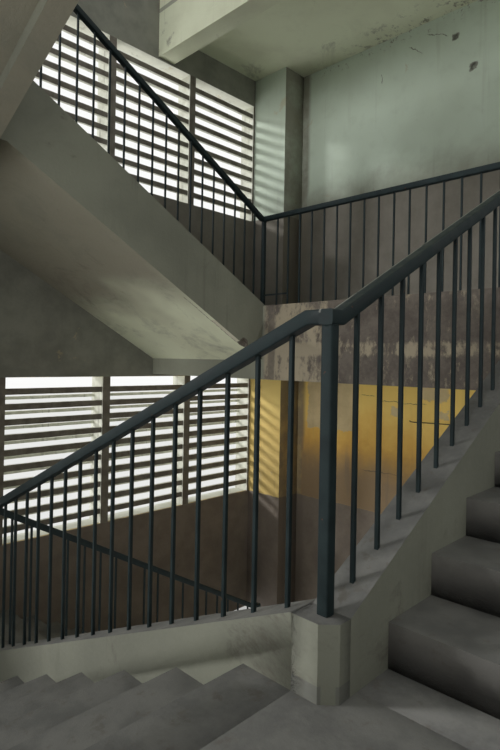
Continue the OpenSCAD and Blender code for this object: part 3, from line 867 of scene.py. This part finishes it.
def louvre_tree():
    """Blades of one window: a column of bars in each bay, cast a little unevenly."""
    tree, given = new_tree("Louvre blades", [
        ("Bays", "Int"), ("Bay Pitch", "Float"), ("Blades", "Int"), ("Blade Pitch", "Float"),
        ("Blade Length", "Float"), ("Blade Height", "Float"), ("Blade Depth", "Float"),
        ("Corner Radius", "Float"), ("Unevenness", "Float"), ("Seed", "Int"), ("Concrete", "Material")])
    across = add(tree, "ShaderNodeCombineXYZ", {0: given["Bay Pitch"]})
    row = add(tree, "GeometryNodeMeshLine", {"Count": given["Bays"], "Offset": across.outputs[0]})
    down = add(tree, "ShaderNodeMath", {0: given["Blade Pitch"], 1: -1.0}, operation="MULTIPLY")
    drop = add(tree, "ShaderNodeCombineXYZ", {2: down.outputs[0]})
    column = add(tree, "GeometryNodeMeshLine", {"Count": given["Blades"], "Offset": drop.outputs[0]})
    grid = add(tree, "GeometryNodeInstanceOnPoints", {
        "Points": row.outputs[0], "Instance": column.outputs[0]})
    windows = add(tree, "GeometryNodeInstanceOnPoints", {
        "Points": given["Geometry"], "Instance": grid.outputs[0]})
    points = add(tree, "GeometryNodeRealizeInstances", {0: windows.outputs[0]})
    span = add(tree, "ShaderNodeCombineXYZ", {0: given["Blade Length"]})
    line = add(tree, "GeometryNodeCurvePrimitiveLine", {"End": span.outputs[0]})
    line = add(tree, "GeometryNodeResampleCurve", {"Curve": line.outputs[0], "Count": 20})
    line = add(tree, "GeometryNodeSetCurveNormal", {"Curve": line.outputs[0]}, mode="Z_UP")
    section = rounded_section(tree, given["Blade Depth"], given["Blade Height"], given["Corner Radius"])
    blade = add(tree, "GeometryNodeCurveToMesh", {
        "Curve": line.outputs[0], "Profile Curve": section, "Fill Caps": True})
    roll = add(tree, "FunctionNodeRandomValue", {
        0: tuple(-turn for turn in BLADE_ROLL), 1: BLADE_ROLL, "Seed": given["Seed"]},
        data_type="FLOAT_VECTOR")
    placed = add(tree, "GeometryNodeInstanceOnPoints", {
        "Points": points.outputs[0], "Instance": blade.outputs[0], "Rotation": roll.outputs[0]})
    real = add(tree, "GeometryNodeRealizeInstances", {0: placed.outputs[0]})
    rough = add(tree, "ShaderNodeTexNoise", {"Scale": 14.0, "Detail": 3.0}, noise_dimensions="3D")
    centred = add(tree, "ShaderNodeVectorMath", {0: rough.outputs["Color"], 1: (0.5, 0.5, 0.5)},
                  operation="SUBTRACT")
    shift = add(tree, "ShaderNodeVectorMath", {0: centred.outputs[0]}, operation="SCALE")
    tree.links.new(given["Unevenness"], shift.inputs["Scale"])
    uneven = add(tree, "GeometryNodeSetPosition", {"Geometry": real.outputs[0], "Offset": shift.outputs[0]})
    return ended(tree, uneven, given["Concrete"])


# Railings

def spaced(start, end):
    count = round((end - start) / BALUSTER_PITCH)
    return [start + i * (end - start) / count for i in range(1, count)]


class Railing:
    """Rail lines and upright bars of one node, gathered as a mesh for the railing tree."""

    def __init__(self, node):
        self.node = node
        self.points, self.lines, self.marks = [], [], []

    def rail(self, points, share=1.0, highlit=0.0):
        first = len(self.points)
        self.points += points
        self.marks += [(0.0, 0.0, share, highlit)] * len(points)
        self.lines += [(i, i + 1) for i in range(first, len(self.points) - 1)]

    def handrail(self, side, axis, z, start, end):
        middle = RAIL_H - HANDRAIL_H / 2
        line = []
        for s in [start, *(k for k in side.knees() if start < k < end), end]:
            lean = (math.sqrt(1 + side.slope() ** 2) - 1) / side.slope() if s in side.knees() else 0
            line.append(side.place(axis, s + lean * HANDRAIL_H / 2, z + side.climb(s) + middle))
        # The near and left handrails carry the painted highlight
        self.rail(line, highlit=float(side in (NEAR, LEFT)))

    def upright(self, side, axis, z, s, width):
        sunk = 0.01
        self.points.append(side.place(axis, s, z + side.upstand + side.climb(s) - sunk))
        self.marks.append((RAIL_H - HANDRAIL_H - side.upstand + sunk, width, 0.0, 0.0))

    def panel(self, side, axis, z, start, end, feet):
        self.handrail(side, axis, z, start, end)
        for s in feet:
            self.upright(side, axis, z, s, BALUSTER)

    def build(self, tree, paint, seed):
        mesh = bpy.data.meshes.new(self.node + "_lines")
        mesh.from_pydata(self.points, self.lines, [])
        for part, name in enumerate(("bar_height", "bar_width", "rail_share", "highlit")):
            attribute = mesh.attributes.new(name, "FLOAT", "POINT")
            attribute.data.foreach_set("value", [mark[part] for mark in self.marks])
        piece = run_tree(tree, self.node + "_steel", mesh, {
            "Handrail Width": HANDRAIL_W, "Handrail Height": HANDRAIL_H, "Corner Radius": 0.006,
            "Weld Margin": 0.004, "Lean": 0.0012, "Seed": seed, "Paint": paint})
        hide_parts(self.node)
        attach(piece, "root")


def flight_railings():
    past = HANDRAIL_W / 2
    for flight in range(6):
        side, z = ((LOUVRE, 0), (LEFT, LANDING_1), (NEAR, LANDING_2))[flight % 3]
        rail = Railing(f"railing_{flight + 1}")
        rail.panel(side, HALF, z + flight // 3 * STOREY, -past, WELL - past, spaced(0, WELL))
        yield rail


def gallery_railings():
    past = HANDRAIL_W / 2
    count = int((WELL - GALLERY_FIRST - POST) / BALUSTER_PITCH) + 1
    feet = [WELL - GALLERY_FIRST - i * BALUSTER_PITCH for i in range(count)]
    for storey in (1, 2):
        z = storey * STOREY
        rail = Railing(f"gallery_railing_{storey}")
        rail.panel(GALLERY, HALF, z, -past, WELL - past, feet)
        bar_z = z + GALLERY.upstand + SHORT_BAR_H + BALUSTER / 2
        bar_ends = [GALLERY.place(HALF, s, bar_z) for s in (feet[1], WELL - POST / 2)]
        rail.rail(bar_ends, BALUSTER / HANDRAIL_W)
        if storey == 2:
            end = HALF + INNER_Y
            rail.panel(GALLERY, HALF, z, WELL - past, end, spaced(WELL, end))
        yield rail


def newel_posts():
    posts = Railing("newel_posts")
    posts.upright(LOUVRE, HALF, 0, 0, POST)
    for base in (0, STOREY):
        for side, z in ((LEFT, LANDING_1), (NEAR, LANDING_2), (GALLERY, STOREY), (LOUVRE, STOREY)):
            posts.upright(side, HALF, base + z, 0, POST)
    yield posts


def side_railings():
    """Outer railings of the two open sides, each with a post at every knee."""
    near_start = HALF - INNER_X + HANDRAIL_W
    sides = [("near_railings", NEAR, (INNER_Y + OUTER_Y) / 2, LANDING_2, near_start, HALF + INNER_X),
             ("left_railings", LEFT, (INNER_X + OUTER_X) / 2, LANDING_1, HALF - INNER_Y, HALF + INNER_Y)]
    for node, side, axis, z, start, end in sides:
        rail = Railing(node)
        ends = [start, *side.knees(), end]
        for base in (0, STOREY):
            rail.handrail(side, axis, base + z, start, end)
            for a, b in zip(ends, ends[1:]):
                for s in spaced(a, b):
                    rail.upright(side, axis, base + z, s, BALUSTER)
            for s in side.knees():
                rail.upright(side, axis, base + z, s, POST)
        yield rail


def make_railings(paint):
    tree = railing_tree()
    made = [*flight_railings(), *gallery_railings(), *newel_posts(), *side_railings()]
    for seed, rail in enumerate(made):
        rail.build(tree, paint, seed)


# Louvres

def make_louvres(concrete):
    tree = louvre_tree()
    first_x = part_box("louvre_blades_lower")[0].x
    inner_y = INNER_Y + BLADE_SETBACK + INNER_BLADE[1] / 2
    outer_y = OUTER_Y - BLADE_SETBACK - OUTER_BLADE[1] / 2
    rows = [(inner_y, BLADE_DROP, BLADES, INNER_BLADE),
            (outer_y, BLADE_DROP + BLADE_PITCH / 2, BLADES - 1, OUTER_BLADE)]
    for storey, node in enumerate(("louvre_blades_lower", "louvre_blades_upper")):
        parts = []
        for i, (y, drop, count, (height, depth)) in enumerate(rows):
            mesh = bpy.data.meshes.new("corner")
            mesh.from_pydata([(first_x, y, HEAD + storey * STOREY - drop)], [], [])
            parts.append(run_tree(tree, f"{node}_{i}", mesh, {
                "Bays": BAYS, "Bay Pitch": BAY_PITCH, "Blades": count, "Blade Pitch": BLADE_PITCH,
                "Blade Length": BAY_W, "Blade Height": height, "Blade Depth": depth, "Corner Radius": 0.006,
                "Unevenness": 0.006, "Seed": storey * 2 + i, "Concrete": concrete}))
        piece = joined(parts, node + "_cast")
        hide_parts(node)
        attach(piece, "root")


def joined(parts, name):
    """One mesh object from several."""
    shape = bmesh.new()
    for part in parts:
        shape.from_mesh(part.data)
    mesh = bpy.data.meshes.new(name)
    shape.to_mesh(mesh)
    shape.free()
    for material in parts[0].data.materials:
        mesh.materials.append(material)
    for part in parts:
        bpy.data.objects.remove(part)
    return linked(name, mesh)


# Iron bar on the ground storey wall

BAR_POINTS = [(0.03, 0.885, 2.968), (-0.012, 0.880, 2.966), (-0.030, 0.850, 2.953), (-0.030, 0.620, 2.962),
              (-0.030, 0.380, 2.968), (-0.012, 0.350, 2.968), (0.03, 0.345, 2.968)]
BAR_RADIUS = 0.006


def make_wall_bar(paint):
    """A short iron bar bent into the wall at both ends. Its points are from the wall's face."""
    curve = bpy.data.curves.new("wall_bar_line", "CURVE")
    curve.dimensions = "3D"
    curve.bevel_depth = BAR_RADIUS
    curve.bevel_resolution = 2
    curve.resolution_u = 6
    curve.use_fill_caps = True
    line = curve.splines.new("NURBS")
    line.points.add(len(BAR_POINTS) - 1)
    for point, (out, y, z) in zip(line.points, BAR_POINTS):
        point.co = (INNER_X + out, y, z, 1)
    line.use_endpoint_u = True
    line.order_u = 3
    carrier = linked("wall_bar_line", curve)
    piece = plain_mesh(carrier, "wall_bar")
    piece.data.materials.append(paint)
    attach(piece, "root")


# Making

bpy.context.scene.view_settings.view_transform = "Standard"
make_camera()
make_world()
make_stage()
make_lights()

MAKERS = {
    "wall_plaster": (wall_plaster, {}),
    "landing_concrete": (cast_concrete, {}),
    "flight_concrete": (cast_concrete, {"floors": False}),
    # The second gallery takes the soffits' paler wash on all its faces: painted light
    "lit_ceiling_concrete": (cast_concrete, {"wash": LIT_CEILING_WASH, "dull": LIT_CEILING_DULL}),
    "stained_concrete": (cast_concrete, {"stained": True}),
    "precast_concrete": (precast_concrete, {}),
    "step_cement": (step_cement, {}),
}
FINISHES = {name: (make(name, **options), make(name + "_arris", edge=True, **options))
            for name, (make, options) in MAKERS.items()}
# Start of a node's name, its finish, the width of its worst chips, and its slot
CAST = [
    ("gallery_1", "stained_concrete", 0.014, "concrete"),
    ("gallery_2", "lit_ceiling_concrete", 0.014, "concrete"),
    ("gallery_wall", "wall_plaster", 0.014, "plaster"),
    ("landing", "landing_concrete", 0.014, "concrete"),
    ("flight", "flight_concrete", 0.016, "concrete"),
    ("steps", "step_cement", 0.016, "cement_steps"),
    ("column", "wall_plaster", 0.014, "plaster"),
    ("louvre_wall", "wall_plaster", 0.014, "plaster"),
    ("louvre_mullions", "precast_concrete", 0.010, "concrete"),
    ("near_band", "flight_concrete", 0.014, "plaster"),
    ("left_band", "flight_concrete", 0.014, "plaster"),
]
trees = solid_trees()
wall_lumps = [(Vector((INNER_X, y, z)), reach) for (y, z), reach in WALL_HOLES]
BROKEN = {
    "gallery_wall": cutter("wall_holes", wall_lumps),
    "flight_4": cutter("broken_end", [BROKEN_END]),
}
for start, finish, width, slot in CAST:
    for name in sorted(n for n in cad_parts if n.startswith(start)):
        worn_copy(name, FINISHES[finish], width, trees, BROKEN.get(name))
for tool in BROKEN.values():
    bpy.data.objects.remove(tool)
steel = railing_paint()
make_railings(steel)
make_louvres(FINISHES["precast_concrete"][0])
make_wall_bar(steel)
